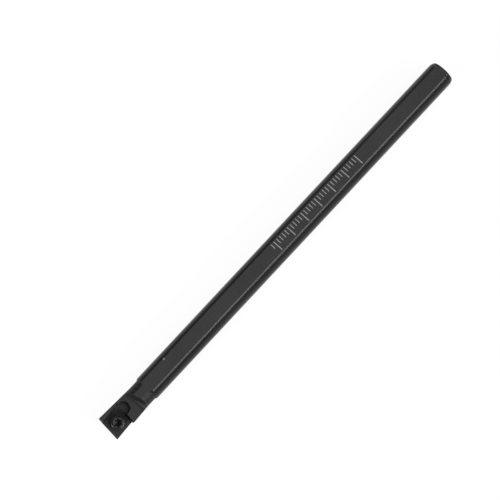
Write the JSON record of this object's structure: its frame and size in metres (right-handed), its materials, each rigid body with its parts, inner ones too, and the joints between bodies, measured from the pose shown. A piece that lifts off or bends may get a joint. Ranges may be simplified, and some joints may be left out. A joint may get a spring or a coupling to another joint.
{
  "type": "boring bar",
  "caption": "Slim steel boring bar with clamping flats, a necked and flared head, an open pocket for a rhombic cutting insert, and the clamp screw in its tapped hole.",
  "frame": {"origin": "centre of the rear end face, on the bar's axis", "axes": "+X along the bar to the head, +Y to the cutting side, +Z out of the upper flat"},
  "size_m": [0.1244, 0.0072, 0.006],
  "materials": {
    "bar_steel": "black oxide, satin",
    "screw_steel": "dark hardened steel, semi-gloss"
  },
  "bodies": {
    "bar": {"bar": "bar_steel"},
    "screw": {"clamp_screw": "screw_steel"}
  },
  "joints": [
    {"name": "clamp_screw_turn", "type": "hinge", "parent": "bar", "child": "screw", "pos_m": [0.12147, 0.0002, -0.00159], "axis": [0, 0.2079, 0.9781], "range_deg": [-1008, 939]}
  ]
}
